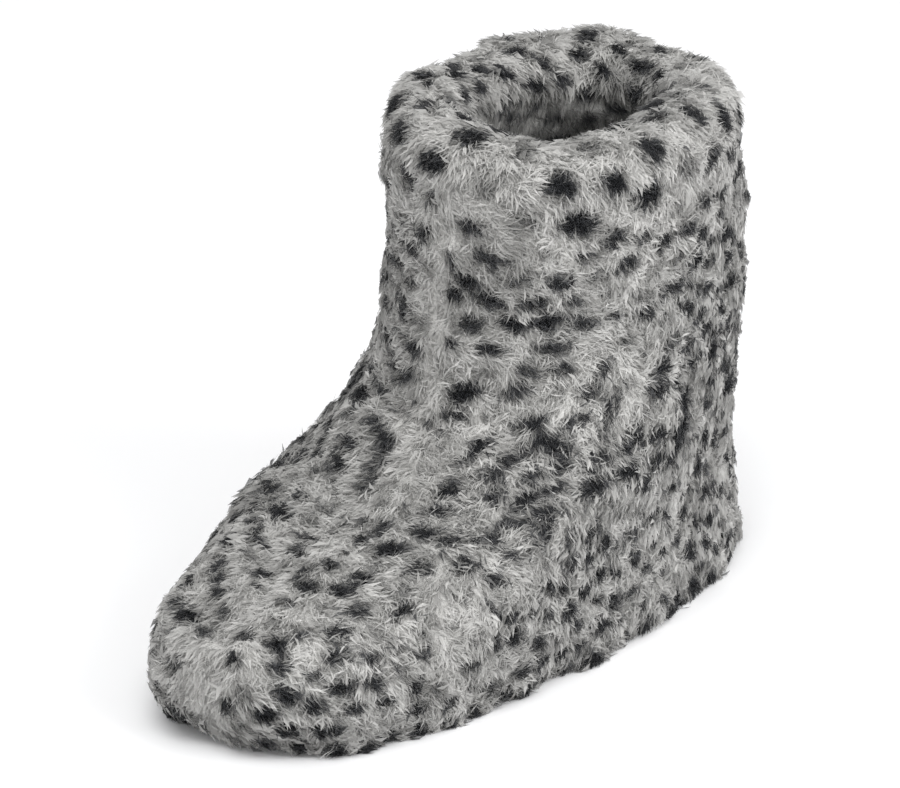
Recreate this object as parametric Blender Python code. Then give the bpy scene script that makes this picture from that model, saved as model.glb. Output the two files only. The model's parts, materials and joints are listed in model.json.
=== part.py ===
"""Ankle-high house slipper of curly two-faced wool, alike for the left and the right foot.

Three sewn pieces: a hollow upper with a thick rolled rim, a soft outsole that lies inside the
upper's hem, and a wool insole. Metres, +Z up. The toe points to -Y, and the collar sags
between the front and the side at +X. The slipper stands on the plane z = 0, its origin below its middle.

A section is one closed loop round the slipper, tilted so that its back stands on the heel and
its front on the toe, instep or shaft. Column 0 is the back seam and the middle column is the
front seam.
"""

import math

import bmesh
import bpy
import numpy as np
from mathutils import Matrix

# Outer sizes, over the pile
LENGTH = 0.283
BALL_WIDTH = 0.122
HEEL_WIDTH = 0.118
INSTEP_HEIGHT = 0.063
SHAFT_DEPTH = 0.142
SHAFT_WIDTH = 0.1045
COLLAR_HEIGHT = 0.181
COLLAR_FRONT_LIFT = 0.0034
COLLAR_SIDE_DIP = 0.0033
COLLAR_SAG = 0.0055
HEEL_FLARE = 0.0105

# Wall of the upper, with the pile of both its faces, and its rolled rim
WALL = 0.012
RIM_THICKNESS = 0.026
RIM_CROWN = 0.012
RIM_DEPTH = 0.036

# Hem round the sole
SKIRT_THICKNESS = 0.0085
SEAM_ALLOWANCE = 0.004
HEM_LIFT = 0.0012

# Sole and insole
OUTSOLE_THICKNESS = 0.004
OUTSOLE_EDGE_ROUND = 0.0012
INSOLE_THICKNESS = 0.008
TOE_SPRING = 0.005
ARCH_RISE = 0.0015
GAP = 0.0003

# Locks of wool, fused on the faces
LOCK_LIFT = 0.0032
LOCK_DROOP = 0.0030
RIM_LOCK_LIFT = 0.0026
LINING_LOCK_LIFT = 0.0016
INSOLE_LOCK_LIFT = 0.0014
HOLLOW_SHARE = 0.35
LOCK_UNEVENNESS = 0.2
# Waves of the unevenness: turns per row and per column, in radians
LOCK_WAVES = ((1.7, 0.9), (0.6, -2.3))
FRONT_SEAM_DEPTH = 0.0026
BACK_SEAM_DEPTH = 0.0012

# Where the sole leaves the floor, as shares of the length from the heel
ARCH_START = 0.30
ARCH_END = 0.56
SPRING_START = 0.78

# Middle and spread of the collar's sag, as angles round the slipper from its back seam
SAG_TURN = 2.5
SAG_SPREAD = 0.8

# Where the half width passes from the heel's to the ball's, as shares of the way to the front
WIDENING_START = 0.15
WIDENING_END = 0.75

# Fineness of the mesh
COLUMNS = 80
OUTER_ROWS = 27
RIM_ROWS = 6
INNER_ROWS = 12
INSOLE_LANES = 8
CREASE_ANGLE = 50

# Colour and roughness of each material
WOOL_COLOUR = (0.40, 0.39, 0.38)
WOOL_ROUGHNESS = 0.95
INSOLE_WOOL_COLOUR = (0.46, 0.45, 0.43)
SUEDE_COLOUR = (0.045, 0.045, 0.048)
SUEDE_ROUGHNESS = 0.85

# Sections of the outer face from the hem (up = 0) to the base of the rim (up = 1).
# reach  front of the foot, as a share of LENGTH from the heel
# shaft  0 where the section belongs to the foot, 1 where it belongs to the shaft
# flare  how far the back has drawn in from the heel, as a share of HEEL_FLARE
# low    height of the front, as a share of INSTEP_HEIGHT
# high   height of the front above the instep, as a share of the rest up to the rim
# ball   half width at the ball, as a share of BALL_WIDTH / 2
# heel   half width at the heel, as a share of HEEL_WIDTH / 2
# blunt  roundness of the toe end: 1 is an ellipse and less is blunter
# The places named below the table are heights in the same measure as its column up.
SECTION_COLUMNS = ("up", "reach", "shaft", "flare", "low", "high", "ball", "heel", "blunt")
SECTIONS = (
    (0.0, 0.972, 0.00, 0.05, 0.00, 0.00, 0.950, 1.010, 0.74),
    (0.1, 1.000, 0.00, 0.00, 0.22, 0.00, 1.000, 1.000, 0.72),
    (0.2, 0.982, 0.00, 0.35, 0.52, 0.00, 1.000, 0.980, 0.75),
    (0.3, 0.900, 0.00, 0.55, 0.73, 0.00, 1.000, 0.960, 0.85),
    (0.4, 0.806, 0.00, 0.62, 0.85, 0.00, 1.030, 0.950, 0.95),
    (0.5, 0.768, 0.30, 0.66, 1.00, 0.00, 1.030, 0.950, 1.00),
    (0.6, 0.750, 0.68, 0.72, 1.00, 0.15, 1.020, 0.950, 0.95),
    (0.7, 0.700, 0.90, 0.78, 1.00, 0.34, 0.950, 0.940, 0.92),
    (0.8, 0.700, 1.00, 0.85, 1.00, 0.56, 0.930, 0.940, 0.92),
    (0.9, 0.700, 1.00, 0.90, 1.00, 0.78, 0.930, 0.940, 0.92),
    (1.0, 0.700, 1.00, 1.00, 1.00, 1.00, 0.930, 0.940, 0.92),
)
HEEL_BLUNT = 0.85
HEM_BAND = 0.06
HEM_LIFT_FADE = 3
SIDE_DIP_START = 0.6
LINING_END = 0.14
HEEL_Y = LENGTH / 2
RIM_BASE = COLLAR_HEIGHT - RIM_CROWN


def smooth_step(value):
    value = np.clip(value, 0.0, 1.0)
    return value * value * (3.0 - 2.0 * value)


def section_sizes(up):
    """The table's columns at the heights up, on a smooth curve through its rows."""
    table = np.array(SECTIONS)
    rows = table[:, 0]
    slopes = np.gradient(table, rows, axis=0)
    low = np.clip(np.searchsorted(rows, up, side="right") - 1, 0, len(rows) - 2)
    span = (rows[low + 1] - rows[low])[:, None]
    t = (up[:, None] - rows[low][:, None]) / span
    near = table[low] * (1 + 2 * t) * (1 - t) ** 2 + slopes[low] * span * t * (1 - t) ** 2
    far = table[low + 1] * t * t * (3 - 2 * t) + slopes[low + 1] * span * t * t * (t - 1)
    return dict(zip(SECTION_COLUMNS, (near + far).T))


def floor_line(y):
    """Height of the sole's underside: flat at heel and forefoot, arched between, sprung at the toe."""
    along = (HEEL_Y - y) / LENGTH
    arch = np.clip((along - ARCH_START) / (ARCH_END - ARCH_START), 0.0, 1.0)
    spring = np.clip((along - SPRING_START) / (1.0 - SPRING_START), 0.0, 1.0)
    return ARCH_RISE * np.sin(math.pi * arch) ** 2 + TOE_SPRING * spring**2


def outer_loops(up):
    """The outer face without its locks: an array of one loop of points for each height up."""
    size = {name: column[:, None] for name, column in section_sizes(up).items()}
    turn = np.linspace(0.0, 2.0 * math.pi, COLUMNS, endpoint=False)[None, :]
    along = (1.0 - np.cos(turn)) / 2.0
    across = np.sin(turn)

    foot_part = 1.0 - size["shaft"]
    reach = foot_part * size["reach"] * LENGTH + size["shaft"] * (SHAFT_DEPTH + HEEL_FLARE)
    back_y = HEEL_Y - size["flare"] * HEEL_FLARE
    front_y = HEEL_Y - reach
    y = back_y + (front_y - back_y) * along

    to_ball = smooth_step((along - WIDENING_START) / (WIDENING_END - WIDENING_START))
    ball_half = size["ball"] * BALL_WIDTH / 2
    heel_half = size["heel"] * HEEL_WIDTH / 2
    foot_half = heel_half + (ball_half - heel_half) * to_ball
    half = foot_part * foot_half + size["shaft"] * SHAFT_WIDTH / 2
    blunt = HEEL_BLUNT + (size["blunt"] - HEEL_BLUNT) * along
    x = np.sign(across) * np.abs(across) ** blunt * half

    front_rise = RIM_BASE + COLLAR_FRONT_LIFT - INSTEP_HEIGHT
    front_z = size["low"] * INSTEP_HEIGHT + size["high"] * front_rise
    back_z = size["up"] * RIM_BASE
    lifted = (1.0 - size["up"]) ** HEM_LIFT_FADE * (floor_line(y) + HEM_LIFT)
    near_collar = smooth_step((size["up"] - SIDE_DIP_START) / (1.0 - SIDE_DIP_START))
    sag = COLLAR_SAG * np.exp(-(((turn - SAG_TURN) / SAG_SPREAD) ** 2))
    collar_drop = near_collar * (COLLAR_SIDE_DIP * across + sag)
    z = back_z + (front_z - back_z) * along + lifted - collar_drop
    return np.stack(np.broadcast_arrays(x, y, z), axis=-1)


def facing(loops):
    """Unit normals of a stack of loops: out of the foot for loops going up, into it going down."""
    onward = np.gradient(loops, axis=0)
    round_it = np.roll(loops, -1, axis=1) - np.roll(loops, 1, axis=1)
    normal = np.cross(onward, round_it)
    return normal / np.linalg.norm(normal, axis=-1, keepdims=True)


def inset(loop, distance):
    """A loop moved inwards in plan by an even distance."""
    along = np.roll(loop, -1, axis=0) - np.roll(loop, 1, axis=0)
    side = np.stack([along[:, 1], -along[:, 0], np.zeros(COLUMNS)], axis=-1)
    side /= np.linalg.norm(side, axis=-1, keepdims=True)
    return loop + side * distance


def at_height(loop, above_floor_line):
    """A loop laid at an even height above the sole's underside."""
    level = loop.copy()
    level[:, 2] = floor_line(loop[:, 1]) + above_floor_line
    return level


def locks(rows, first_row=0):
    """Locks in staggered rows: 1 at a lock's tip, less than 0 in the hollows between."""
    row = np.arange(first_row, first_row + rows)[:, None]
    column = np.arange(COLUMNS)[None, :]
    tip = (row + column) % 2 == 0
    first, second = [by_row * row + by_column * column for by_row, by_column in LOCK_WAVES]
    wave = np.sin(first) * np.cos(second)
    return np.where(tip, 1.0 - LOCK_UNEVENNESS + LOCK_UNEVENNESS * wave, -HOLLOW_SHARE)


def seam_hollow():
    """Depth of the parting along the front seam and the back seam, for each column."""
    depth = np.zeros(COLUMNS)
    depth[COLUMNS // 2] = FRONT_SEAM_DEPTH
    depth[0] = BACK_SEAM_DEPTH
    return depth


def outer_face(up):
    """The outer face with its locks hanging down over the hollows."""
    smooth = outer_loops(up)
    normal = facing(smooth)
    down = -np.gradient(smooth, axis=0)
    down /= np.linalg.norm(down, axis=-1, keepdims=True)
    above_hem = smooth_step(up / HEM_BAND)[:, None]
    lock = locks(len(up)) * above_hem
    lock[:, COLUMNS // 2] = 0.0
    lift = LOCK_LIFT * lock - seam_hollow()[None, :] * above_hem
    droop = LOCK_DROOP * np.clip(lock, 0.0, None)
    droop[-1] = 0.0
    return smooth + normal * lift[..., None] + down * droop[..., None]


def rim_loops(top_loop):
    """The rolled rim, from the outer face over its crown to the inside."""
    rows = []
    for step in range(1, RIM_ROWS + 1):
        angle = math.pi * step / (RIM_ROWS + 1)
        loop = inset(top_loop, RIM_THICKNESS / 2 * (1.0 - math.cos(angle)))
        loop[:, 2] += RIM_CROWN * math.sin(angle)
        rows.append(loop)
    rows = np.array(rows)
    lock = locks(RIM_ROWS, first_row=OUTER_ROWS)
    return rows + facing(rows) * (RIM_LOCK_LIFT * lock)[..., None]


def inner_face(up):
    """The lining face from the rim down, a wall's thickness inside the outer one."""
    smooth = outer_loops(up)
    below_rim = (1.0 - up) * RIM_BASE
    thickness = WALL + (RIM_THICKNESS - WALL) * (1.0 - smooth_step(below_rim / RIM_DEPTH))
    lock = locks(len(up), first_row=OUTER_ROWS + RIM_ROWS)
    lock[-1] = 0.0
    depth = thickness[:, None] + LINING_LOCK_LIFT * lock
    return smooth + facing(smooth) * depth[..., None]


def hem_outline():
    """The lowest loop of the outer face, which the sole and the insole follow."""
    return outer_loops(np.array([0.0]))[0]


def loft(mesh, loops, closed):
    """Faces between neighbouring loops, each quad split between its two hollow corners."""
    rings = [[mesh.verts.new(point) for point in loop] for loop in loops]
    count = len(rings)
    for row in range(count if closed else count - 1):
        lower, upper = rings[row], rings[(row + 1) % count]
        for column in range(COLUMNS):
            after = (column + 1) % COLUMNS
            a, b, c, d = lower[column], lower[after], upper[after], upper[column]
            if (row + column) % 2 == 0:
                mesh.faces.new((a, d, b))
                mesh.faces.new((b, d, c))
            else:
                mesh.faces.new((a, c, b))
                mesh.faces.new((a, d, c))
    return rings


def ladder_cap(mesh, ring, lanes=1, lock_lift=0.0):
    """Closes a loop with strips across the foot, cut into lanes that may carry locks."""
    half = COLUMNS // 2
    rungs = [[ring[0]] * (lanes + 1)]
    for column in range(1, half):
        left, right = ring[column], ring[COLUMNS - column]
        rung = [left]
        for lane in range(1, lanes):
            point = left.co.lerp(right.co, lane / lanes)
            tip = (column + lane) % 2 == 0
            point.z += lock_lift * (1.0 if tip else -HOLLOW_SHARE)
            rung.append(mesh.verts.new(point))
        rungs.append(rung + [right])
    rungs.append([ring[half]] * (lanes + 1))
    for near, far in zip(rungs, rungs[1:]):
        for lane in range(lanes):
            corners = (near[lane], near[lane + 1], far[lane + 1], far[lane])
            kept = [vert for place, vert in enumerate(corners) if vert not in corners[:place]]
            mesh.faces.new(kept)


def add_object(name, mesh, material):
    bmesh.ops.triangulate(mesh, faces=[face for face in mesh.faces if len(face.verts) > 3])
    bmesh.ops.recalc_face_normals(mesh, faces=mesh.faces)
    data = bpy.data.meshes.new(name)
    mesh.to_mesh(data)
    mesh.free()
    data.materials.append(material)
    data.shade_smooth()
    data.set_sharp_from_angle(angle=math.radians(CREASE_ANGLE))
    made = bpy.data.objects.new(name, data)
    bpy.context.collection.objects.link(made)
    return made


def make_material(name, colour, roughness):
    material = bpy.data.materials.new(name)
    material.use_nodes = True
    shader = material.node_tree.nodes["Principled BSDF"]
    shader.inputs["Base Color"].default_value = (*colour, 1.0)
    shader.inputs["Roughness"].default_value = roughness
    shader.inputs["Metallic"].default_value = 0.0
    return material


def make_upper(material):
    """One hollow wall, open at the collar and under the foot."""
    hem = hem_outline()
    sole_top = OUTSOLE_THICKNESS + GAP
    skirt = inset(hem, SKIRT_THICKNESS)
    inside = inset(hem, SKIRT_THICKNESS + GAP + SEAM_ALLOWANCE)
    outer = outer_face(np.linspace(0.0, 1.0, OUTER_ROWS))
    top = outer_loops(np.array([1.0]))[0]
    rim = rim_loops(top)
    inner = inner_face(np.linspace(1.0, LINING_END, INNER_ROWS))
    under = [
        at_height(inside, sole_top + INSOLE_THICKNESS + GAP),
        at_height(inside, sole_top),
        at_height(skirt, sole_top),
        at_height(skirt, HEM_LIFT),
    ]
    mesh = bmesh.new()
    loft(mesh, [*under, *outer, *rim, *inner], closed=True)
    return add_object("upper", mesh, material)


def make_outsole(material):
    """The soft flat sole inside the hem, with its lower edge rounded."""
    edge = inset(hem_outline(), SKIRT_THICKNESS + GAP)
    tread = inset(edge, OUTSOLE_EDGE_ROUND)
    mesh = bmesh.new()
    loops = [
        at_height(tread, 0.0),
        at_height(edge, OUTSOLE_EDGE_ROUND),
        at_height(edge, OUTSOLE_THICKNESS),
    ]
    rings = loft(mesh, loops, closed=False)
    ladder_cap(mesh, rings[0])
    ladder_cap(mesh, rings[-1])
    return add_object("outsole", mesh, material)


def make_insole(material):
    """The wool insole on the sole, inside the wall, with its pile up."""
    edge = inset(hem_outline(), SKIRT_THICKNESS + SEAM_ALLOWANCE + 2 * GAP)
    seat = OUTSOLE_THICKNESS + GAP
    pile_top = seat + INSOLE_THICKNESS - INSOLE_LOCK_LIFT
    mesh = bmesh.new()
    rings = loft(mesh, [at_height(edge, seat), at_height(edge, pile_top)], closed=False)
    ladder_cap(mesh, rings[0])
    ladder_cap(mesh, rings[-1], lanes=INSOLE_LANES, lock_lift=INSOLE_LOCK_LIFT)
    return add_object("insole", mesh, material)


def centre_in_plan(objects):
    """Moves the pieces together, so that the middle of their box stands over the origin."""
    points = np.array([vert.co[:] for made in objects for vert in made.data.vertices])
    middle = (points.min(axis=0) + points.max(axis=0)) / 2
    for made in objects:
        made.data.transform(Matrix.Translation((-middle[0], -middle[1], 0.0)))


def main():
    for old in list(bpy.data.objects):
        bpy.data.objects.remove(old)
    wool = make_material("speckled_wool", WOOL_COLOUR, WOOL_ROUGHNESS)
    insole_wool = make_material("insole_wool", INSOLE_WOOL_COLOUR, WOOL_ROUGHNESS)
    suede = make_material("charcoal_suede", SUEDE_COLOUR, SUEDE_ROUGHNESS)
    centre_in_plan([make_upper(wool), make_outsole(suede), make_insole(insole_wool)])


main()
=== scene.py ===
"""The look of an ankle-high slipper of curly speckled wool, laid over its solids.

Metres, +Z up, the toe to -Y and the heel to +Y, the side that the camera sees at +X.
The knitted ground is one closed skin that follows the wall's own sections, and the pile on it
is made of short bent fibres, joined in a few meshes.
"""

import json
import math

import bpy
import numpy as np
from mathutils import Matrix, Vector

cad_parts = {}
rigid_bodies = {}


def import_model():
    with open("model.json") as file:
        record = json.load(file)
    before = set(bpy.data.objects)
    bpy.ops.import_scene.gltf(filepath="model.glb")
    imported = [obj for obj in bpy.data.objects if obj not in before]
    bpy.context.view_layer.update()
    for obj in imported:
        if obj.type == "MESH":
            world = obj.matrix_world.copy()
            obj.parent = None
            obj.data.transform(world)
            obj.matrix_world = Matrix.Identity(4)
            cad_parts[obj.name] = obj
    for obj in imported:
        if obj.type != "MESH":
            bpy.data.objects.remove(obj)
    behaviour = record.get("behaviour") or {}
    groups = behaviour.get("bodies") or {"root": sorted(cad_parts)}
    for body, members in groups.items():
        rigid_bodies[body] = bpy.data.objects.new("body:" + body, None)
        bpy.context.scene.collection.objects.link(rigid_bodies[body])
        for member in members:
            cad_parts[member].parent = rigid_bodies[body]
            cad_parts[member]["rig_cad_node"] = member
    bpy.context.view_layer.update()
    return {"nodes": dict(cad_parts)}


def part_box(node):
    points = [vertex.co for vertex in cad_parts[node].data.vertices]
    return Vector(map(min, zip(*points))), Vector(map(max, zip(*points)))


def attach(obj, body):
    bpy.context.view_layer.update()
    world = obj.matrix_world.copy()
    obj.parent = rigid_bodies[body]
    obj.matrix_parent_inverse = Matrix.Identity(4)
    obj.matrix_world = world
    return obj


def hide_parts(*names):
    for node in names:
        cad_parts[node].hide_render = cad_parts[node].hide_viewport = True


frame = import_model()

# The wall's sizes, as the solids have them
LENGTH = 0.283
BALL_WIDTH = 0.122
HEEL_WIDTH = 0.118
INSTEP_HEIGHT = 0.063
SHAFT_DEPTH = 0.142
SHAFT_WIDTH = 0.1045
COLLAR_HEIGHT = 0.181
COLLAR_FRONT_LIFT = 0.0034
COLLAR_SIDE_DIP = 0.0033
COLLAR_SAG = 0.0055
HEEL_FLARE = 0.0105
WALL = 0.012
RIM_THICKNESS = 0.026
RIM_CROWN = 0.012
RIM_DEPTH = 0.036
SKIRT_THICKNESS = 0.0085
SEAM_ALLOWANCE = 0.004
HEM_LIFT = 0.0012
OUTSOLE_THICKNESS = 0.004
INSOLE_THICKNESS = 0.008
TOE_SPRING = 0.005
ARCH_RISE = 0.0015
GAP = 0.0003
ARCH_START = 0.30
ARCH_END = 0.56
SPRING_START = 0.78
SECTION_COLUMNS = ("up", "reach", "shaft", "flare", "low", "high", "ball", "heel", "blunt")
SECTIONS = (
    (0.0, 0.972, 0.00, 0.05, 0.00, 0.00, 0.950, 1.010, 0.74),
    (0.1, 1.000, 0.00, 0.00, 0.22, 0.00, 1.000, 1.000, 0.72),
    (0.2, 0.982, 0.00, 0.35, 0.52, 0.00, 1.000, 0.980, 0.75),
    (0.3, 0.900, 0.00, 0.55, 0.73, 0.00, 1.000, 0.960, 0.85),
    (0.4, 0.806, 0.00, 0.62, 0.85, 0.00, 1.030, 0.950, 0.95),
    (0.5, 0.768, 0.30, 0.66, 1.00, 0.00, 1.030, 0.950, 1.00),
    (0.6, 0.750, 0.68, 0.72, 1.00, 0.15, 1.020, 0.950, 0.95),
    (0.7, 0.700, 0.90, 0.78, 1.00, 0.34, 0.950, 0.940, 0.92),
    (0.8, 0.700, 1.00, 0.85, 1.00, 0.56, 0.930, 0.940, 0.92),
    (0.9, 0.700, 1.00, 0.90, 1.00, 0.78, 0.930, 0.940, 0.92),
    (1.0, 0.700, 1.00, 1.00, 1.00, 1.00, 0.930, 0.940, 0.92),
)
HEEL_BLUNT = 0.85
SIDE_DIP_START = 0.6
LINING_END = 0.14
SAG_TURN = 2.5
SAG_SPREAD = 0.8
WIDENING_START = 0.15
WIDENING_END = 0.75
HEEL_Y = LENGTH / 2
RIM_BASE = COLLAR_HEIGHT - RIM_CROWN

# Fineness of the ground: stations round the slipper and along each face of the wall
STATIONS = 256
OUTER_ROWS = 76
RIM_ROWS = 17
LINING_ROWS = 34
RIM_FROM = OUTER_ROWS
LINING_FROM = OUTER_ROWS + RIM_ROWS
UNDER_FROM = OUTER_ROWS + RIM_ROWS + LINING_ROWS

# Soft creases of the ground: heights in metres, spreads in turns (radians) or shares of the height
SLOW_WAVES = ((0.0012, 0.040, 11), (0.0009, 0.017, 12))
FRONT_SEAM_DEPTH = 0.0030
FRONT_SEAM_SPREAD = 0.035
BACK_SEAM_DEPTH = 0.0012
BACK_SEAM_SPREAD = 0.045
BEND_DEPTH = 0.0022
BEND_SHARE = 0.50
BEND_SPREAD = 0.05
BEND_TURN = 0.9
PUCKERS = 14
PUCKER_HEIGHT = 0.0008
PUCKER_SHARE = 0.2
PUCKER_SPREAD = 0.14
PUCKER_TURN = 0.12
RIPPLES = 11
RIPPLE_HEIGHT = 0.0007
RIPPLE_TURN = 0.8
HEM_LUMP_HEIGHT = 0.0015
HEM_LUMP_SIZE = 0.030
HEM_LUMP_SHARE = 0.14
TUFT_HEIGHT = 0.0010

# The pile: its tufts, its depth on each face and how far the skin lies under the wall's face
TUFT = 0.0075
SMALL_TUFT = 0.0028
OUTER_PILE_DEPTH = 0.0032
RIM_PILE_DEPTH = 0.0040
LINING_PILE_DEPTH = 0.0028
SKIN_SUNK = 0.0013
SKIN_SUNK_AT_HEM = 0.0006
SKIN_SUNK_NEAR_HEM = 0.0012
SKIN_OVER_FLOOR = 0.0009
FIBRE_OVER_FLOOR = 0.0003
CLOUD_STRETCH = np.array([1.0, 1.0, 2.2])

# The dark spots: how far apart and how large, and what the foot, heel, rim and instep change
SPOT_TRIES = 26000
SPOT_APART_WIDE = 0.0122
SPOT_APART_HIGH = 0.0077
SPOT_HALF_WIDE = 0.0050
SPOT_HALF_HIGH = 0.0021
SPOT_EDGE_START = 0.30
SPOT_EDGE = 1.50
PALE_SPOTS = 0.25

# Tones run from 0, the darkest wool, to 1, the lightest
FIBRE_TONE = 0.93
SKIN_TONE = 0.82
INSOLE_TONE = 0.62
SPOT_TONE = 0.06
PALETTE = 32

PICTURE_WIDTH = 900.0
FOCAL_PIXELS = 5166.0
CAMERA_TURN = math.radians(37.0)
CAMERA_RISE = math.radians(21.0)
CAMERA_DISTANCE = 1.8
CAMERA_AIM = Vector((-0.003, -0.002, 0.086))
LIGHT_AIM = Vector((0.0, 0.0, 0.06))


def smooth_step(value):
    value = np.clip(value, 0.0, 1.0)
    return value * value * (3.0 - 2.0 * value)


def bell(value, middle, spread):
    return np.exp(-(((value - middle) / spread) ** 2))


def fade_in(value, start, span):
    """0 up to the start, 1 past the span, smooth between."""
    return smooth_step((value - start) / span)


def unit(vectors):
    return vectors / np.maximum(np.linalg.norm(vectors, axis=-1, keepdims=True), 1e-12)


def section_sizes(up):
    """The table's columns at the heights up, on a smooth curve through its rows."""
    table = np.array(SECTIONS)
    rows = table[:, 0]
    slopes = np.gradient(table, rows, axis=0)
    low = np.clip(np.searchsorted(rows, up, side="right") - 1, 0, len(rows) - 2)
    span = (rows[low + 1] - rows[low])[:, None]
    t = (up[:, None] - rows[low][:, None]) / span
    near = table[low] * (1 + 2 * t) * (1 - t) ** 2 + slopes[low] * span * t * (1 - t) ** 2
    far = table[low + 1] * t * t * (3 - 2 * t) + slopes[low + 1] * span * t * t * (t - 1)
    return dict(zip(SECTION_COLUMNS, (near + far).T))


def floor_line(y):
    """Height of the sole's underside: flat at heel and forefoot, arched between, sprung at the toe."""
    along = (HEEL_Y - y) / LENGTH
    arch = np.clip((along - ARCH_START) / (ARCH_END - ARCH_START), 0.0, 1.0)
    spring = np.clip((along - SPRING_START) / (1.0 - SPRING_START), 0.0, 1.0)
    return ARCH_RISE * np.sin(math.pi * arch) ** 2 + TOE_SPRING * spring**2


def wall_loops(up):
    """The wall's outer face: one loop of points for each height up, from the back seam round."""
    size = {name: column[:, None] for name, column in section_sizes(up).items()}
    turn = np.linspace(0.0, 2.0 * math.pi, STATIONS, endpoint=False)[None, :]
    along = (1.0 - np.cos(turn)) / 2.0
    across = np.sin(turn)
    foot_part = 1.0 - size["shaft"]
    reach = foot_part * size["reach"] * LENGTH + size["shaft"] * (SHAFT_DEPTH + HEEL_FLARE)
    back_y = HEEL_Y - size["flare"] * HEEL_FLARE
    front_y = HEEL_Y - reach
    y = back_y + (front_y - back_y) * along
    to_ball = smooth_step((along - WIDENING_START) / (WIDENING_END - WIDENING_START))
    ball_half = size["ball"] * BALL_WIDTH / 2
    heel_half = size["heel"] * HEEL_WIDTH / 2
    foot_half = heel_half + (ball_half - heel_half) * to_ball
    half = foot_part * foot_half + size["shaft"] * SHAFT_WIDTH / 2
    blunt = HEEL_BLUNT + (size["blunt"] - HEEL_BLUNT) * along
    x = np.sign(across) * np.abs(across) ** blunt * half
    front_rise = RIM_BASE + COLLAR_FRONT_LIFT - INSTEP_HEIGHT
    front_z = size["low"] * INSTEP_HEIGHT + size["high"] * front_rise
    back_z = size["up"] * RIM_BASE
    lifted = (1.0 - size["up"]) ** 3 * (floor_line(y) + HEM_LIFT)
    near_collar = smooth_step((size["up"] - SIDE_DIP_START) / (1.0 - SIDE_DIP_START))
    sag = COLLAR_SAG * np.exp(-(((turn - SAG_TURN) / SAG_SPREAD) ** 2))
    collar_drop = near_collar * (COLLAR_SIDE_DIP * across + sag)
    z = back_z + (front_z - back_z) * along + lifted - collar_drop
    return np.stack(np.broadcast_arrays(x, y, z), axis=-1)


def inset(loop, distance):
    """A loop moved inwards in plan by an even distance."""
    along = np.roll(loop, -1, axis=0) - np.roll(loop, 1, axis=0)
    side = unit(np.stack([along[:, 1], -along[:, 0], np.zeros(STATIONS)], axis=-1))
    return loop + side * distance


def at_height(loop, above_floor_line):
    level = loop.copy()
    level[:, 2] = floor_line(loop[:, 1]) + above_floor_line
    return level


def wall_faces():
    """The whole wall as one ring of rows: outer face up, over the rim, lining down, hem inside."""
    hem = wall_loops(np.array([0.0]))[0]
    outer = wall_loops(np.linspace(0.0, 1.0, OUTER_ROWS))
    top = outer[-1]
    rim = []
    for step in range(1, RIM_ROWS + 1):
        angle = math.pi * step / (RIM_ROWS + 1)
        loop = inset(top, RIM_THICKNESS / 2 * (1.0 - math.cos(angle)))
        loop[:, 2] += RIM_CROWN * math.sin(angle)
        rim.append(loop)
    up = np.linspace(1.0, LINING_END, LINING_ROWS)
    smooth = wall_loops(up)
    onward = np.gradient(smooth, axis=0)
    round_it = np.roll(smooth, -1, axis=1) - np.roll(smooth, 1, axis=1)
    inward = unit(np.cross(onward, round_it))
    below_rim = (1.0 - up) * RIM_BASE
    thickness = WALL + (RIM_THICKNESS - WALL) * (1.0 - smooth_step(below_rim / RIM_DEPTH))
    lining = smooth + inward * thickness[:, None, None]
    sole_top = OUTSOLE_THICKNESS + GAP
    skirt = inset(hem, SKIRT_THICKNESS)
    inside = inset(hem, SKIRT_THICKNESS + GAP + SEAM_ALLOWANCE)
    under = [
        at_height(inside, sole_top + INSOLE_THICKNESS + GAP),
        at_height(inside, sole_top),
        at_height(skirt, sole_top),
        at_height(skirt, HEM_LIFT),
    ]
    return np.concatenate([outer, rim, lining, under])


def drift(points, size, seed):
    """A slow unevenness between about -1 and 1, whose waves are about one size long."""
    draw = np.random.default_rng(seed)
    total = np.zeros(points.shape[:-1])
    for _ in range(9):
        way = unit(draw.normal(size=3))
        length = size * draw.uniform(0.7, 1.5)
        total += np.sin(points @ way * (2 * math.pi / length) + draw.uniform(0, 2 * math.pi))
    return total / 3.0


def draw_for_cells(cells, seed):
    """Four even random numbers from 0 to 1 for each whole-numbered cell."""
    c = cells.astype(np.int64).astype(np.uint64)
    key = c[..., 0] * np.uint64(73856093) ^ c[..., 1] * np.uint64(19349663)
    key = key ^ c[..., 2] * np.uint64(83492791) ^ np.uint64(seed * 2654435761)
    numbers = []
    for _ in range(4):
        key = (key ^ (key >> np.uint64(29))) * np.uint64(0xBF58476D1CE4E5B9)
        key = key ^ (key >> np.uint64(32))
        numbers.append((key >> np.uint64(11)).astype(float) / float(1 << 53))
    return np.stack(numbers, axis=-1)


def tufts(points, size, seed):
    """For each point the middle of its tuft, how far off it is in sizes, and the tuft's own numbers."""
    cell = np.floor(points / size).astype(np.int64)
    best = np.full(len(points), np.inf)
    middle = np.zeros_like(points)
    own = np.zeros((len(points), 4))
    for dx in (-1, 0, 1):
        for dy in (-1, 0, 1):
            for dz in (-1, 0, 1):
                near = cell + np.array([dx, dy, dz])
                numbers = draw_for_cells(near, seed)
                centre = (near + 0.15 + 0.7 * numbers[:, :3]) * size
                gap = np.linalg.norm(points - centre, axis=1) / size
                closer = gap < best
                best[closer] = gap[closer]
                middle[closer] = centre[closer]
                own[closer] = draw_for_cells(near[closer] + 7, seed + 1)
    return middle, best, own


# ---- the ground of the wall, as a field that the pile stands on

wall = wall_faces()
sole_edge = at_height(inset(wall[0], SKIRT_THICKNESS + GAP), 0.0)[:, :2]
sole_box = np.array(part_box("outsole"))[:, :2]
wall[..., :2] += sole_box.sum(axis=0) / 2 - (sole_edge.min(axis=0) + sole_edge.max(axis=0)) / 2
ROWS = len(wall)

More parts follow.
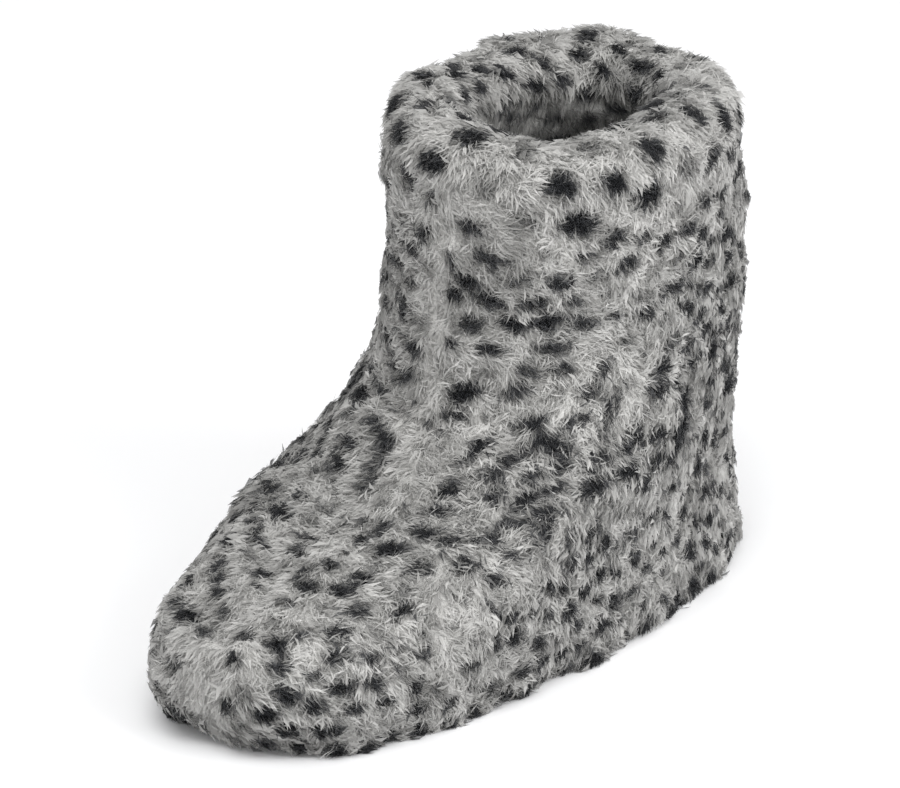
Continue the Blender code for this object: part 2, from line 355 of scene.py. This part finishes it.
onward = np.roll(wall, -1, axis=0) - np.roll(wall, 1, axis=0)
around = np.roll(wall, -1, axis=1) - np.roll(wall, 1, axis=1)
outward = unit(np.cross(onward, around))
around = unit(around)
down = unit(-onward)
row_number = np.arange(ROWS)[:, None] * np.ones((1, STATIONS))
station = np.arange(STATIONS)[None, :] * np.ones((ROWS, 1))
turn = station / STATIONS * 2 * math.pi
from_front = np.abs(turn - math.pi)
from_back = np.minimum(turn, 2 * math.pi - turn)


def soft_relief():
    """How far each point of the wall is raised: soft creases placed in the slipper's own sizes."""
    rise = sum(height * drift(wall, size, seed) for height, size, seed in SLOW_WAVES)
    share = row_number / (OUTER_ROWS - 1)
    outer = (row_number < OUTER_ROWS).astype(float)
    # The parting of the front seam and the finer one of the back seam
    over_hem = fade_in(share, 0.0, 0.08)
    rise -= outer * FRONT_SEAM_DEPTH * bell(from_front, 0.0, FRONT_SEAM_SPREAD) * over_hem
    rise -= outer * BACK_SEAM_DEPTH * bell(from_back, 0.0, BACK_SEAM_SPREAD)
    # The bend of the instep, where the shaft stands up from the foot
    rise -= outer * BEND_DEPTH * bell(share, BEND_SHARE, BEND_SPREAD) * bell(from_front, 0.0, BEND_TURN)
    # Puckers that run off the toe's seam
    pucker = np.cos(share * 2 * math.pi * PUCKERS) * bell(share, PUCKER_SHARE, PUCKER_SPREAD)
    rise += outer * PUCKER_HEIGHT * pucker * bell(from_front, PUCKER_TURN, PUCKER_TURN)
    # Cross ripples down the back of the shaft
    ripple = np.cos(share * 2 * math.pi * RIPPLES + 0.8 * np.sin(turn * 3))
    on_back = bell(from_back, 0.0, RIPPLE_TURN) * fade_in(share, 0.3, 0.2)
    rise += outer * RIPPLE_HEIGHT * ripple * on_back
    # Lumps along the hem
    near_hem = 1.0 - fade_in(share, 0.0, HEM_LUMP_SHARE)
    rise += outer * HEM_LUMP_HEIGHT * near_hem * drift(wall, HEM_LUMP_SIZE, 13)
    # Each tuft is a low mound
    _, tuft_off, _ = tufts(wall.reshape(-1, 3), TUFT, 61)
    rise += TUFT_HEIGHT * (0.6 - np.clip(tuft_off, 0.0, 1.1) ** 2).reshape(rise.shape)
    rise[UNDER_FROM:] = 0.0
    return rise


pile_depth = np.full((ROWS, STATIONS), OUTER_PILE_DEPTH)
pile_depth[RIM_FROM:LINING_FROM] = RIM_PILE_DEPTH
pile_depth[LINING_FROM:UNDER_FROM] = LINING_PILE_DEPTH
pile_depth[UNDER_FROM:] = 0.0
sunk = np.full((ROWS, STATIONS), SKIN_SUNK)
sunk[UNDER_FROM - 1 :] = 0.0
sunk[0] = SKIN_SUNK_AT_HEM
sunk[1:4] = SKIN_SUNK_NEAR_HEM
ground = wall + outward * (soft_relief() - sunk)[..., None]
ground[..., 2] = np.maximum(ground[..., 2], SKIN_OVER_FLOOR)
ground[UNDER_FROM:] = wall[UNDER_FROM:]
row_gap = np.linalg.norm(np.roll(ground, -1, axis=0) - np.roll(ground, 1, axis=0), axis=-1) / 2
station_gap = np.linalg.norm(np.roll(ground, -1, axis=1) - np.roll(ground, 1, axis=1), axis=-1) / 2


def cell_areas(points):
    a = points[:-1]
    b = np.roll(points, -1, axis=1)[:-1]
    c = np.roll(points, -1, axis=1)[1:]
    d = points[1:]
    return np.linalg.norm(np.cross(c - a, d - b), axis=-1) / 2


def spread(count, first_row, last_row, draw):
    """Random places on the wall, even by area: rows and stations as broken numbers."""
    areas = cell_areas(ground[first_row : last_row + 1])
    edge = np.cumsum(areas.ravel())
    mark = (np.arange(count) + draw.random(count)) / count * edge[-1]
    index = np.searchsorted(edge, mark)
    rows = first_row + index // STATIONS + draw.random(count)
    stations = index % STATIONS + draw.random(count)
    return rows, stations


def at(field, rows, stations):
    """A field's values between its rows and stations."""
    r0 = np.clip(np.floor(rows).astype(int), 0, ROWS - 2)
    s0 = np.floor(stations).astype(int) % STATIONS
    s1 = (s0 + 1) % STATIONS
    fr = rows - r0
    fs = stations - np.floor(stations)
    if field.ndim == 3:
        fr, fs = fr[:, None], fs[:, None]
    low = field[r0, s0] * (1 - fs) + field[r0, s1] * fs
    high = field[r0 + 1, s0] * (1 - fs) + field[r0 + 1, s1] * fs
    return low * (1 - fr) + high * fr


# ---- the dark spots of the wool


def lay_spots():
    """Dark spots, never nearer to each other than their spacing: their places, axes and sizes."""
    draw = np.random.default_rng(41)
    rows, stations = spread(SPOT_TRIES, 0, UNDER_FROM - 1, draw)
    place = at(wall, rows, stations)
    normal = unit(at(outward, rows, stations))
    side = unit(at(around, rows, stations))
    share = rows / (OUTER_ROWS - 1)
    rim = fade_in(rows, RIM_FROM - 9, 6) * (1 - fade_in(rows, RIM_FROM + 7, 5))
    back_share = np.minimum(stations, STATIONS - stations) / (STATIONS / 2)
    low = 1 - fade_in(share, 0.25, 0.2)
    heel = 1 - fade_in(back_share, 0.15, 0.2)
    wide = SPOT_APART_WIDE - 0.0024 * np.maximum(low, heel) + 0.0050 * rim
    high = SPOT_APART_HIGH + 0.0010 * low + 0.0055 * rim
    farthest = max(wide.max(), high.max())
    kept = []
    taken = np.zeros((len(rows), 3))
    for i in range(len(rows)):
        gap = taken[: len(kept)] - place[i]
        gap = gap[np.abs(gap).max(axis=1) < farthest]
        along = gap @ side[i]
        upright = np.linalg.norm(gap - np.outer(along, side[i]), axis=1)
        if np.all((along / wide[i]) ** 2 + (upright / high[i]) ** 2 >= 1.0):
            taken[len(kept)] = place[i]
            kept.append(i)
    count = len(kept)
    low, heel, rim = low[kept], heel[kept], rim[kept]
    size = draw.uniform(0.85, 1.3, count)
    instep = bell(share[kept], 0.46, 0.14)
    foot_or_heel = np.maximum(low, heel)
    half_wide = (SPOT_HALF_WIDE - 0.0015 * foot_or_heel - 0.0002 * rim + 0.0004 * instep) * size
    half_high = (SPOT_HALF_HIGH + 0.0003 * low + 0.0014 * rim + 0.0005 * instep) * size
    strength = np.where(draw.random(count) < PALE_SPOTS, 0.5, 1.0) * draw.uniform(0.7, 1.0, count)
    tilt = draw.normal(0.0, 0.22, count)
    kept_fields = [field[kept] for field in (rows, stations, place, normal, side)]
    return zip(*kept_fields, half_wide, half_high, strength, tilt)


def spot_field():
    """How dark the wool is at each point of the wall, from 0 to 1."""
    dark = np.zeros((ROWS, STATIONS))
    uneven = 0.20 * drift(wall, 0.0045, 43)
    row_reach = 9
    station_reach = 13
    normal_reach = 0.01
    for row, place_at, place, normal, side, wide, high, strength, tilt in lay_spots():
        r = np.arange(max(0, int(row) - row_reach), min(UNDER_FROM, int(row) + row_reach + 2))
        s = np.arange(int(place_at) - station_reach, int(place_at) + station_reach + 1) % STATIONS
        window = np.ix_(r, s)
        gap = wall[window] - place
        a = gap @ side
        b = gap @ np.cross(normal, side)
        along = a * math.cos(tilt) + b * math.sin(tilt)
        over = -a * math.sin(tilt) + b * math.cos(tilt)
        off = gap @ normal / normal_reach
        radius = np.sqrt((along / wide) ** 2 + (over / high) ** 2 + off**2)
        tone = strength * (1 - fade_in(radius + uneven[window], SPOT_EDGE_START, SPOT_EDGE))
        dark[window] = np.maximum(dark[window], tone)
    return dark


# The front seam shows as a lighter line with darker wool beside it: the spots are left out along it,
# and the lighter line and darker band are painted highlight and painted shade of the parted pile
on_outside = 1.0 - fade_in(row_number, RIM_FROM - 4, 6)
seam_painted_light_and_shade = on_outside * (bell(from_front, 0.0, 0.045) - 0.5 * bell(from_front, 0.13, 0.05))
darkness = spot_field() * (1.0 - 0.85 * np.clip(seam_painted_light_and_shade, 0.0, 1.0))


# ---- finishes


def new_material(name, roughness):
    material = bpy.data.materials.new(name)
    material.use_nodes = True
    shader = material.node_tree.nodes["Principled BSDF"]
    shader.inputs["Roughness"].default_value = roughness
    return material, material.node_tree.nodes, material.node_tree.links, shader


def set_ramp(ramp, stops):
    for _ in range(len(stops) - 2):
        ramp.color_ramp.elements.new(0.5)
    for element, (place, colour) in zip(ramp.color_ramp.elements, stops):
        element.position = place
        element.color = (*colour, 1.0)


WOOL_TONES = (
    (0.0, (0.007, 0.008, 0.010)),
    (0.3, (0.085, 0.087, 0.092)),
    (0.6, (0.42, 0.415, 0.40)),
    (1.0, (0.95, 0.94, 0.915)),
)


def fibre_wool(name):
    """Wool fibres: their tone runs across the map, and painted shade darkens it towards the root, deep
    in the pile.
    """
    material, nodes, links, shader = new_material(name, 0.85)
    place = nodes.new("ShaderNodeUVMap")
    place.uv_map = "OFBake"
    split = nodes.new("ShaderNodeSeparateXYZ")
    links.new(place.outputs["UV"], split.inputs["Vector"])
    ramp = nodes.new("ShaderNodeValToRGB")
    set_ramp(ramp, WOOL_TONES)
    links.new(split.outputs["X"], ramp.inputs["Fac"])
    # Painted shade: the colour is scaled down towards each fibre's root, where shade falls deep in the
    # pile
    root = nodes.new("ShaderNodeMapRange")
    root.inputs["To Min"].default_value = 0.86
    links.new(split.outputs["Y"], root.inputs["Value"])
    deep = nodes.new("ShaderNodeVectorMath")
    deep.operation = "SCALE"
    links.new(ramp.outputs["Color"], deep.inputs[0])
    links.new(root.outputs["Result"], deep.inputs["Scale"])
    links.new(deep.outputs["Vector"], shader.inputs["Base Color"])
    shader.inputs["Sheen Weight"].default_value = 0.06
    shader.inputs["Alpha"].default_value = 0.5
    shader.inputs["Specular IOR Level"].default_value = 0.15
    return material


def ground_wool(name):
    """The knitted ground under the pile, which takes the tone of the pile over it."""
    material, nodes, links, shader = new_material(name, 0.95)
    tone = nodes.new("ShaderNodeAttribute")
    tone.attribute_name = "wool_tone"
    place = nodes.new("ShaderNodeTexCoord")
    grain = nodes.new("ShaderNodeTexNoise")
    grain.inputs["Scale"].default_value = 1500.0
    grain.inputs["Detail"].default_value = 4.0
    links.new(place.outputs["Object"], grain.inputs["Vector"])
    mixed = nodes.new("ShaderNodeMath")
    mixed.operation = "MULTIPLY_ADD"
    mixed.inputs[1].default_value = 0.4
    links.new(grain.outputs["Fac"], mixed.inputs[0])
    shifted = nodes.new("ShaderNodeMath")
    shifted.operation = "SUBTRACT"
    shifted.inputs[1].default_value = 0.2
    links.new(tone.outputs["Fac"], shifted.inputs[0])
    links.new(shifted.outputs["Value"], mixed.inputs[2])
    ramp = nodes.new("ShaderNodeValToRGB")
    set_ramp(ramp, WOOL_TONES)
    links.new(mixed.outputs["Value"], ramp.inputs["Fac"])
    links.new(ramp.outputs["Color"], shader.inputs["Base Color"])
    bump = nodes.new("ShaderNodeBump")
    bump.inputs["Strength"].default_value = 0.8
    bump.inputs["Distance"].default_value = 0.0006
    links.new(grain.outputs["Fac"], bump.inputs["Height"])
    links.new(bump.outputs["Normal"], shader.inputs["Normal"])
    shader.inputs["Sheen Weight"].default_value = 0.2
    return material


def sole_suede(name):
    material, nodes, links, shader = new_material(name, 0.9)
    place = nodes.new("ShaderNodeTexCoord")
    nap = nodes.new("ShaderNodeTexNoise")
    nap.inputs["Scale"].default_value = 1400.0
    nap.inputs["Detail"].default_value = 3.0
    links.new(place.outputs["Object"], nap.inputs["Vector"])
    cloud = nodes.new("ShaderNodeTexNoise")
    cloud.inputs["Scale"].default_value = 38.0
    cloud.inputs["Detail"].default_value = 3.0
    links.new(place.outputs["Object"], cloud.inputs["Vector"])
    both = nodes.new("ShaderNodeMath")
    both.operation = "MULTIPLY"
    links.new(nap.outputs["Fac"], both.inputs[0])
    links.new(cloud.outputs["Fac"], both.inputs[1])
    ramp = nodes.new("ShaderNodeValToRGB")
    set_ramp(ramp, ((0.1, (0.020, 0.020, 0.022)), (0.5, (0.085, 0.084, 0.086))))
    links.new(both.outputs["Value"], ramp.inputs["Fac"])
    links.new(ramp.outputs["Color"], shader.inputs["Base Color"])
    bump = nodes.new("ShaderNodeBump")
    bump.inputs["Strength"].default_value = 0.5
    bump.inputs["Distance"].default_value = 0.0003
    links.new(nap.outputs["Fac"], bump.inputs["Height"])
    links.new(bump.outputs["Normal"], shader.inputs["Normal"])
    shader.inputs["Sheen Weight"].default_value = 0.35
    return material


pile_wool = fibre_wool("speckled_pile_wool")
skin_wool = ground_wool("speckled_ground_wool")
suede = sole_suede("charcoal_sole_suede")


# ---- the pieces

bpy.ops.object.select_all(action="DESELECT")


def make_ground():
    """The skin of the upper: a ring bent to the wall's own sections."""
    bpy.ops.mesh.primitive_torus_add(
        major_segments=STATIONS, minor_segments=ROWS, major_radius=0.1, minor_radius=0.03
    )
    skin = bpy.context.object
    skin.name = "upper_ground"
    skin.data.name = "upper_ground"
    order = (-np.arange(STATIONS)) % STATIONS
    points = ground[:, order].transpose(1, 0, 2)
    skin.data.vertices.foreach_set("co", points.astype(np.float32).ravel())
    skin.data.uv_layers[0].name = "OFBake"
    value = (SKIN_TONE - (SKIN_TONE - SPOT_TONE) * darkness)[:, order].T
    skin.data.attributes.new("wool_tone", "FLOAT", "POINT")
    skin.data.attributes["wool_tone"].data.foreach_set("value", value.astype(np.float32).ravel())
    skin.data.materials.append(skin_wool)
    skin.data.update()
    bpy.ops.object.shade_smooth()
    bpy.ops.object.select_all(action="DESELECT")
    return skin


def make_fibres(name, root, middle, tip, width, tone, normal, material):
    """One mesh of bent fibres: each is a closed sliver, widest at its bend, pointed at both ends."""
    count = len(root)
    axis = unit(tip - root)
    bulge = middle - (root + tip) / 2 + normal * 0.0001
    bulge = unit(bulge - axis * (bulge * axis).sum(axis=1, keepdims=True))
    half = np.cross(axis, bulge) * width[:, None] / 2
    points = np.stack([root, middle + half, middle - half, tip], axis=1)
    points[..., 2] = np.maximum(points[..., 2], FIBRE_OVER_FLOOR)
    faces = np.array(((0, 1, 2), (3, 2, 1), (0, 3, 1), (0, 2, 3)))
    corners = (np.arange(count)[:, None, None] * 4 + faces[None]).reshape(-1)
    column = (np.clip((tone * PALETTE).astype(int), 0, PALETTE - 1) + 0.5) / PALETTE
    map_x = column[:, None] + np.array([0.0, 0.4, -0.4, 0.0])[None, :] / PALETTE
    map_y = np.zeros((count, 4)) + np.array([0.02, 0.5, 0.5, 0.98])[None, :]
    place = np.stack([map_x, map_y], axis=-1).reshape(-1, 2)[corners]
    mesh = bpy.data.meshes.new(name)
    mesh.vertices.add(count * 4)
    mesh.vertices.foreach_set("co", points.astype(np.float32).ravel())
    mesh.loops.add(len(corners))
    mesh.loops.foreach_set("vertex_index", corners.astype(np.int32))
    mesh.polygons.add(len(corners) // 3)
    mesh.polygons.foreach_set("loop_start", np.arange(0, len(corners), 3, dtype=np.int32))
    mesh.update(calc_edges=True)
    mesh.uv_layers.new(name="OFBake")
    mesh.uv_layers["OFBake"].data.foreach_set("uv", place.astype(np.float32).ravel())
    mesh.polygons.foreach_set("use_smooth", np.ones(len(corners) // 3, dtype=bool))
    facing = unit(normal + 0.25 * bulge)
    mesh.normals_split_custom_set_from_vertices(np.repeat(facing, 4, axis=0))
    mesh.materials.append(material)
    made = bpy.data.objects.new(name, mesh)
    bpy.context.scene.collection.objects.link(made)
    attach(made, "root")
    return made


def pile_lay(rows, stations, side, downwards, place):
    """The way that the pile lies: down and away from the front seam, with swirls."""
    past_front = stations / STATIONS * 2 * math.pi - math.pi
    lean = np.tanh(past_front * 9.0) * (0.75 * bell(past_front, 0.0, 1.0) + 0.30)
    lean = lean * (1 - 0.7 * fade_in(rows, RIM_FROM - 2, 6))
    lean = lean + 0.50 * drift(place, 0.026, 51) + 0.30 * drift(place, 0.011, 52)
    inside = 1 - 2 * fade_in(rows, RIM_FROM + RIM_ROWS / 2 - 2.5, 5)
    return unit(downwards * (np.cos(lean) * inside)[:, None] + side * np.sin(lean)[:, None])


def times(vectors, factors):
    return vectors * factors[:, None]


def off_surface(vectors, normal):
    """The vectors with their part along the normal taken away."""
    return vectors - times(normal, (vectors * normal).sum(axis=1))


def pile(name, count, first_row, last_row, seed, length, width, rise, wild, lifted):
    """A band of the wall's pile, gathered in tufts of two sizes."""
    draw = np.random.default_rng(seed)
    rows, stations = spread(count, first_row, last_row, draw)
    root = at(ground, rows, stations)
    normal = unit(at(outward, rows, stations))
    side = unit(at(around, rows, stations))
    downwards = unit(at(down, rows, stations))
    depth = at(pile_depth, rows, stations)
    lay = pile_lay(rows, stations, side, downwards, root)
    middle_of, off, own = tufts(root, TUFT, 61)
    small_of, small_off, small_own = tufts(root, SMALL_TUFT, 62)
    turned = (own[:, 0] - 0.5) * 0.8 + (small_own[:, 0] - 0.5) * 0.9 + draw.normal(0, wild, count)
    lay = times(lay, np.cos(turned)) + times(np.cross(normal, lay), np.sin(turned))
    to_tuft = off_surface(middle_of - root, normal)
    to_small = off_surface(small_of - root, normal)
    long = length * draw.uniform(0.7, 1.3, count)
    # A fibre takes the tone of the place where it shows, past its middle
    shown_row = rows - (lay * downwards).sum(axis=1) * long * 0.55 / at(row_gap, rows, stations)
    shown_station = stations + (lay * side).sum(axis=1) * long * 0.55 / at(station_gap, rows, stations)
    dark = at(darkness, np.clip(shown_row, 0, ROWS - 2), shown_station)
    crown = 1.10 - 0.35 * np.clip(off, 0, 1.2) ** 2 + 0.20 * (own[:, 1] - 0.5)
    level = depth * crown * (rise + (1 - rise) * draw.random(count))
    root = root + times(normal, level * lifted)
    level = level * (1 - lifted)
    bend = times(draw.normal(0, 0.07, (count, 3)), long)
    middle = root + times(normal, level * 0.8) + times(lay, long * 0.45)
    middle += 0.15 * to_small + 0.06 * to_tuft + bend
    tip = root + times(normal, level * 0.95) + times(lay, long * 0.92)
    tip += 0.35 * to_small + 0.14 * to_tuft
    # Painted shade: fibres on the inner face of the opening and the lining are darkened, where the
    # light falls off inside
    inside_painted_shade = fade_in(rows, RIM_FROM + 7, 14)
    tone = FIBRE_TONE - 0.22 * inside_painted_shade + 0.20 * (own[:, 2] - 0.5) + 0.10 * (small_own[:, 2] - 0.5)
    # Painted highlight along the front seam and painted shade beside it, then tones that differ at
    # random
    tone += 0.10 * at(seam_painted_light_and_shade, rows, stations) + 0.06 * drift(root, 0.03, 63)
    tone += 0.06 * drift(root * CLOUD_STRETCH, 0.013, 65) + 0.05 * drift(root, 0.006, 64)
    soaked = fade_in(dark + draw.normal(0, 0.10, count), 0.0, 0.85)
    # Painted shade: fibres at the edges of the small tufts are darkened, as the shadow lines between
    # locks
    tone += draw.normal(0, 0.025, count) - 0.17 * fade_in(small_off, 0.45, 0.45)
    tone = tone * (1 - soaked) + SPOT_TONE * soaked
    thick = width * draw.uniform(0.75, 1.25, count)
    return make_fibres(name, root, middle, tip, thick, np.clip(tone, 0.01, 0.99), normal, pile_wool)


skin = make_ground()
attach(skin, "root")
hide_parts("upper")

# Layers of the pile: how many fibres, their length and width in metres, the least share of the
# pile's depth that they rise, how wildly they are turned, and the share of it that lifts the root
LAYER_COLUMNS = ("kind", "fibres", "length", "width", "rise", "wild", "lifted")
OUTER_LAYERS = (
    ("deep", 85000, 0.0064, 0.00023, 0.15, 0.35, 0.0),
    ("top", 85000, 0.0056, 0.00011, 0.50, 0.85, 0.70),
)
RIM_LAYERS = (
    ("deep", 17000, 0.0075, 0.00024, 0.2, 0.35, 0.0),
    ("top", 15000, 0.0060, 0.00012, 0.60, 1.1, 0.66),
)
LINING_LAYER = ("lining", 20000, 0.0062, 0.00034, 0.3, 0.35, 0.2)
OUTER_BANDS = (("foot_pile", 0, 24), ("instep_pile", 24, 50), ("shaft_pile", 50, 76))


def lay_layer(name, first_row, last_row, seed, layer, part=1.0):
    """One layer over a band of rows, with its part of the layer's fibres."""
    fibres = int(layer[LAYER_COLUMNS.index("fibres")] * part)
    form = layer[LAYER_COLUMNS.index("length") :]
    made = pile(name, fibres, first_row, last_row, seed, *form)


area_of = {name: cell_areas(ground[a : b + 1]).sum() for name, a, b in OUTER_BANDS}
outer_area = sum(area_of.values())
for number, (name, low_row, high_row) in enumerate(OUTER_BANDS):
    for step, layer in enumerate(OUTER_LAYERS):
        seed = 70 + number * 2 + step
        part = area_of[name] / outer_area
        lay_layer(f"{name}_{layer[0]}", low_row, high_row, seed, layer, part)
for step, layer in enumerate(RIM_LAYERS):
    lay_layer(f"rim_pile_{layer[0]}", RIM_FROM - 1, LINING_FROM, 80 + step, layer)
lay_layer("lining_pile", LINING_FROM, UNDER_FROM - 1, 90, LINING_LAYER)


def make_insole():
    """The wool insole: its solid's form, rounded, under a short pile."""
    source = frame["nodes"]["insole"]
    pad = source.copy()
    pad.data = source.data.copy()
    pad.name = "insole_ground"
    pad.data.name = "insole_ground"
    del pad["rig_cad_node"]
    bpy.context.scene.collection.objects.link(pad)
    bpy.ops.object.select_all(action="DESELECT")
    pad.select_set(True)
    bpy.context.view_layer.objects.active = pad
    bpy.ops.object.mode_set(mode="EDIT")
    bpy.ops.mesh.select_all(action="SELECT")
    bpy.ops.mesh.remove_doubles(threshold=0.00002)
    bpy.ops.object.mode_set(mode="OBJECT")
    bpy.ops.object.shade_smooth()
    pad.data.materials.clear()
    tone = pad.data.attributes.new("wool_tone", "FLOAT", "POINT")
    tone.data.foreach_set("value", np.full(len(pad.data.vertices), INSOLE_TONE, np.float32))
    pad.data.materials.append(skin_wool)
    bpy.ops.object.select_all(action="DESELECT")
    return pad


pad = make_insole()
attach(pad, "root")
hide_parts("insole")



def insole_pile(count, length, width):
    """Short fibres over the top of the insole, lying towards the toe with swirls."""
    draw = np.random.default_rng(95)
    edge = inset(wall[0], SKIRT_THICKNESS + GAP + SEAM_ALLOWANCE + 0.001)
    stations = draw.random(count) * STATIONS
    first = np.floor(stations).astype(int) % STATIONS
    part = (stations - np.floor(stations))[:, None]
    rim_point = edge[first] * (1 - part) + edge[(first + 1) % STATIONS] * part
    spine = rim_point * np.array([0.0, 1.0, 0.0])
    spine[:, 1] = np.clip(spine[:, 1], edge[:, 1].min() + 0.04, edge[:, 1].max() - 0.04)
    root = spine + (rim_point - spine) * np.sqrt(draw.random(count))[:, None]
    root[:, 2] = floor_line(root[:, 1]) + OUTSOLE_THICKNESS + GAP + INSOLE_THICKNESS - 0.0002
    normal = np.zeros((count, 3)) + np.array([0.0, 0.0, 1.0])
    heading = 1.1 * drift(root, 0.02, 96) + draw.normal(0, 0.8, count)
    lay = np.stack([np.sin(heading), -np.cos(heading), np.zeros(count)], axis=-1)
    level = 0.0016 * draw.uniform(0.3, 1.0, count)
    middle = root + normal * (level * 0.8)[:, None] + lay * length * 0.45
    tip = root + normal * level[:, None] + lay * length * 0.92
    tone = np.clip(0.80 + 0.06 * drift(root, 0.02, 97) + draw.normal(0, 0.04, count), 0.01, 0.99)
    thick = width * draw.uniform(0.75, 1.25, count)
    return make_fibres("insole_pile", root, middle, tip, thick, tone, normal, pile_wool)


made = insole_pile(8000, 0.0055, 0.00034)

frame["nodes"]["outsole"].data.materials.clear()
frame["nodes"]["outsole"].data.materials.append(suede)


# ---- floor, light and camera

bpy.ops.mesh.primitive_plane_add(size=14.0, location=(0.0, 0.0, 0.0))
floor = bpy.context.object
floor.name = "studio_floor"
floor_paint, _, _, floor_shader = new_material("pale_studio_floor", 0.7)
floor_shader.inputs["Base Color"].default_value = (0.93, 0.932, 0.94, 1.0)
floor_shader.inputs["Specular IOR Level"].default_value = 0.2
floor.data.materials.append(floor_paint)
bpy.ops.object.select_all(action="DESELECT")


def softbox(name, place, size, power):
    lamp = bpy.data.lights.new(name, "AREA")
    lamp.shape = "DISK"
    lamp.size = size
    lamp.energy = power
    lamp_object = bpy.data.objects.new(name, lamp)
    bpy.context.scene.collection.objects.link(lamp_object)
    lamp_object.location = place
    aim = LIGHT_AIM - Vector(place)
    lamp_object.rotation_euler = aim.to_track_quat("-Z", "Y").to_euler()


softbox("key_softbox", (0.55, -1.0, 1.8), 1.3, 21.0)
softbox("fill_softbox", (1.8, 0.1, 1.1), 1.4, 20.0)
world = bpy.data.worlds.new("white_studio")
bpy.context.scene.world = world
world.use_nodes = True
world.node_tree.nodes["Background"].inputs["Color"].default_value = (1.0, 1.0, 1.0, 1.0)
world.node_tree.nodes["Background"].inputs["Strength"].default_value = 0.80
bpy.context.scene.view_settings.view_transform = "Standard"

lens = bpy.data.cameras.new("camera")
lens.sensor_width = 36.0
lens.lens = FOCAL_PIXELS / PICTURE_WIDTH * lens.sensor_width
lens.clip_start = 0.05
camera = bpy.data.objects.new("camera", lens)
bpy.context.scene.collection.objects.link(camera)
back = Vector(
    (
        math.sin(CAMERA_TURN) * math.cos(CAMERA_RISE),
        -math.cos(CAMERA_TURN) * math.cos(CAMERA_RISE),
        math.sin(CAMERA_RISE),
    )
)
camera.location = CAMERA_AIM + back * CAMERA_DISTANCE
camera.rotation_euler = (-back).to_track_quat("-Z", "Y").to_euler()
bpy.context.scene.camera = camera
